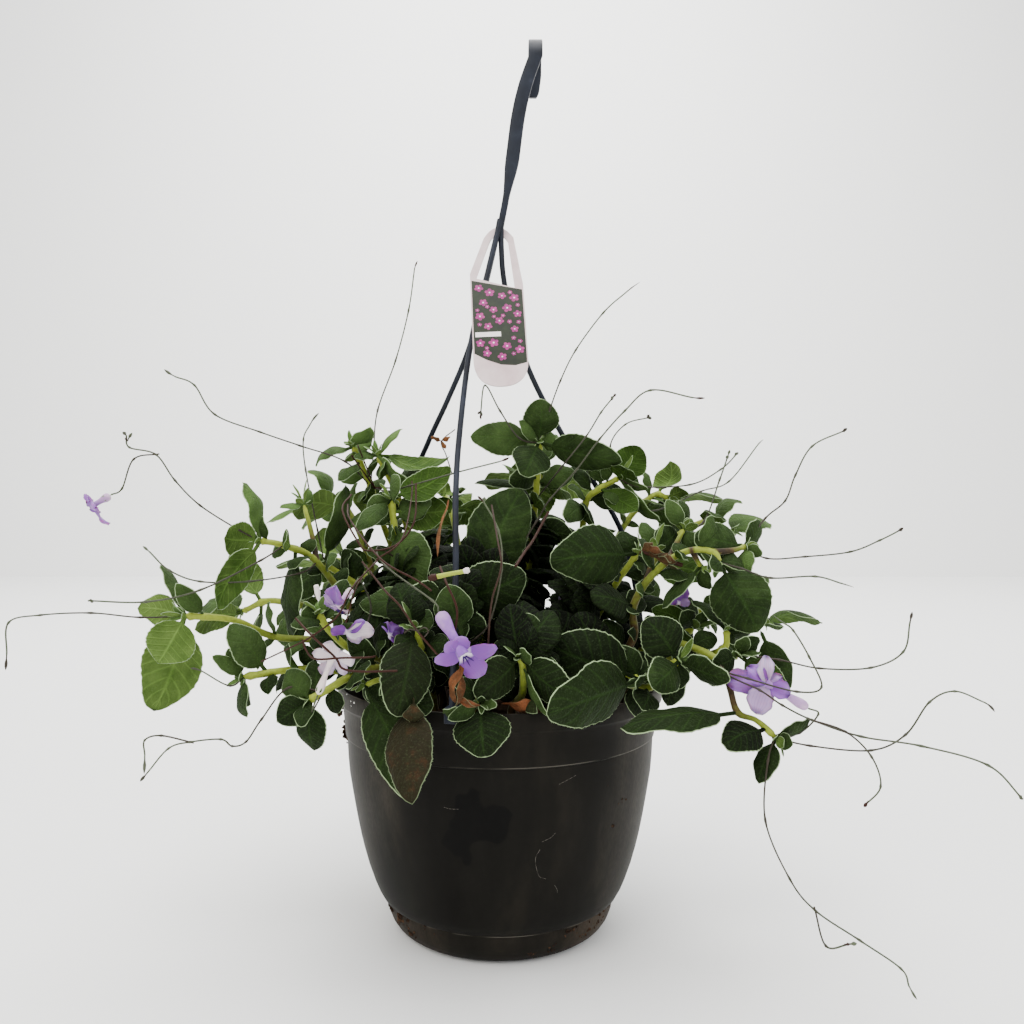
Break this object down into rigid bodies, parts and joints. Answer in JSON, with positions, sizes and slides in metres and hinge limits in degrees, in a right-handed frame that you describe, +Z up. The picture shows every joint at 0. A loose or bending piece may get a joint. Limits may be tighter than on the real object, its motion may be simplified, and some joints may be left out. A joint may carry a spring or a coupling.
{
  "type": "potted trailing plant",
  "caption": "Trailing cape primrose with fleshy round leaves, wiry stalks and lilac flowers in a round plastic pot with a clipped-on saucer, a forked hook hanger and a care tag.",
  "frame": {"origin": "centre of the saucer's underside, where the pot's axis meets the surface that it stands on", "axes": "+Z up along the axis of the pot; -Y is the front, towards the viewer; +X is to the right of the front"},
  "size_m": [0.5532, 0.3639, 0.5995],
  "materials": {
    "pot": "satin",
    "saucer": "satin",
    "soil": "matte",
    "hanger": "satin",
    "care_label": "gloss",
    "foliage": "matte",
    "flower": "matte"
  },
  "bodies": {
    "root": {"bloom_far_left": "flower", "bloom_front": "flower", "bloom_left_high": "flower", "bloom_left_low": "flower", "bloom_right": "flower", "care_label": "care_label", "hanger": "hanger", "pot": "pot", "saucer": "saucer", "shoot_centre": "foliage", "shoot_centre_low": "foliage", "shoot_crown": "foliage", "shoot_front_fold": "foliage", "shoot_front_hang": "foliage", "shoot_front_left_hang": "foliage", "shoot_front_right": "foliage", "shoot_front_rosette": "foliage", "shoot_left_blade": "foliage", "shoot_left_crest": "foliage", "shoot_left_low": "foliage", "shoot_left_middle": "foliage", "shoot_left_middle_low": "foliage", "shoot_left_reach": "foliage", "shoot_left_rosette": "foliage", "shoot_left_top": "foliage", "shoot_left_upper": "foliage", "shoot_right_arch": "foliage", "shoot_right_back": "foliage", "shoot_right_big": "foliage", "shoot_right_inner": "foliage", "shoot_right_low": "foliage", "shoot_right_middle": "foliage", "shoot_right_top": "foliage", "shoot_side_b": "foliage", "shoot_side_c": "foliage", "shoot_side_d": "foliage", "shoot_side_e": "foliage", "shoot_side_g": "foliage", "shoot_side_h": "foliage", "shoot_side_i": "foliage", "shoot_side_j": "foliage", "shoot_side_k": "foliage", "shoot_side_l": "foliage", "shoot_side_m": "foliage", "soil": "soil"}
  },
  "joints": []
}
